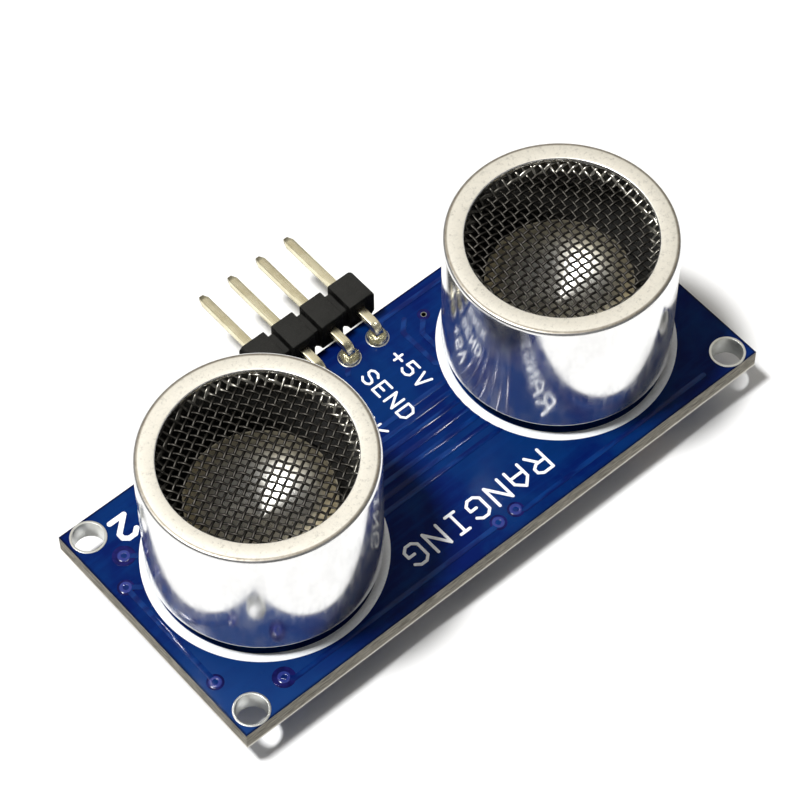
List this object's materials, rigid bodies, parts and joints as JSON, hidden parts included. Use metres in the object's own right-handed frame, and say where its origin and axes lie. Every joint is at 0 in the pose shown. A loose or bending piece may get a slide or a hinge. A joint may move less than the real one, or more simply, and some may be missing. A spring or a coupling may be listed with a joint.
{
  "type": "ultrasonic distance sensor module",
  "caption": "Ultrasonic ranging module: circuit board with mesh-fronted round metal transducers, corner mounting holes and a right-angle pin header.",
  "frame": {"origin": "centre of the four mounting holes, on the board's back face", "axes": "+X along the board from the receiver to the transmitter, +Y towards the header edge (the pins point +Y), +Z out of the front face, the way the transducers look"},
  "size_m": [0.0456, 0.0281, 0.0155],
  "materials": {
    "board_laminate": "satin",
    "tinned_copper": "satin",
    "solder": "gloss",
    "header_plastic": "satin",
    "pin_plating": "satin",
    "crystal_ceramic": "matte",
    "crystal_metal": "satin",
    "chip_moulding": "matte",
    "leg_tin": "satin",
    "resistor_glaze": "satin",
    "capacitor_ceramic": "matte",
    "reservoir_moulding": "satin",
    "can_aluminium": "polished",
    "mesh_steel": "satin",
    "cone_aluminium": "satin",
    "plate_brass": "satin",
    "piezo_ceramic": "matte",
    "silicone": "matte",
    "base_phenolic": "matte",
    "terminal_tin": "satin",
    "lead_copper": "satin"
  },
  "bodies": {
    "root": {"amplifier_chip": "chip_moulding", "amplifier_chip_legs": "leg_tin", "capacitor_end_caps": "leg_tin", "chip_capacitors": "capacitor_ceramic", "chip_resistors": "resistor_glaze", "circuit_board": "board_laminate", "controller_chip": "chip_moulding", "controller_chip_legs": "leg_tin", "crystal_base": "crystal_ceramic", "crystal_lid": "crystal_metal", "driver_chip": "chip_moulding", "driver_chip_legs": "leg_tin", "echo_pin": "pin_plating", "ground_pin": "pin_plating", "header_housing": "header_plastic", "header_pads": "tinned_copper", "header_solder_joints": "solder", "mounting_hole_plating": "tinned_copper", "receiver_base": "base_phenolic", "receiver_can": "can_aluminium", "receiver_damping_ring": "silicone", "receiver_lead_wires": "lead_copper", "receiver_mesh_screen": "mesh_steel", "receiver_piezo_disc": "piezo_ceramic", "receiver_radiating_cone": "cone_aluminium", "receiver_terminals": "terminal_tin", "receiver_vibrating_plate": "plate_brass", "reservoir_capacitor": "reservoir_moulding", "reservoir_end_caps": "leg_tin", "resistor_end_caps": "leg_tin", "supply_pin": "pin_plating", "switching_transistor": "chip_moulding", "transducer_pads": "tinned_copper", "transducer_solder_joints": "solder", "transistor_legs": "leg_tin", "transmitter_base": "base_phenolic", "transmitter_can": "can_aluminium", "transmitter_damping_ring": "silicone", "transmitter_lead_wires": "lead_copper", "transmitter_mesh_screen": "mesh_steel", "transmitter_piezo_disc": "piezo_ceramic", "transmitter_radiating_cone": "cone_aluminium", "transmitter_terminals": "terminal_tin", "transmitter_vibrating_plate": "plate_brass", "trigger_pin": "pin_plating", "via_barrels": "tinned_copper"}
  },
  "joints": []
}
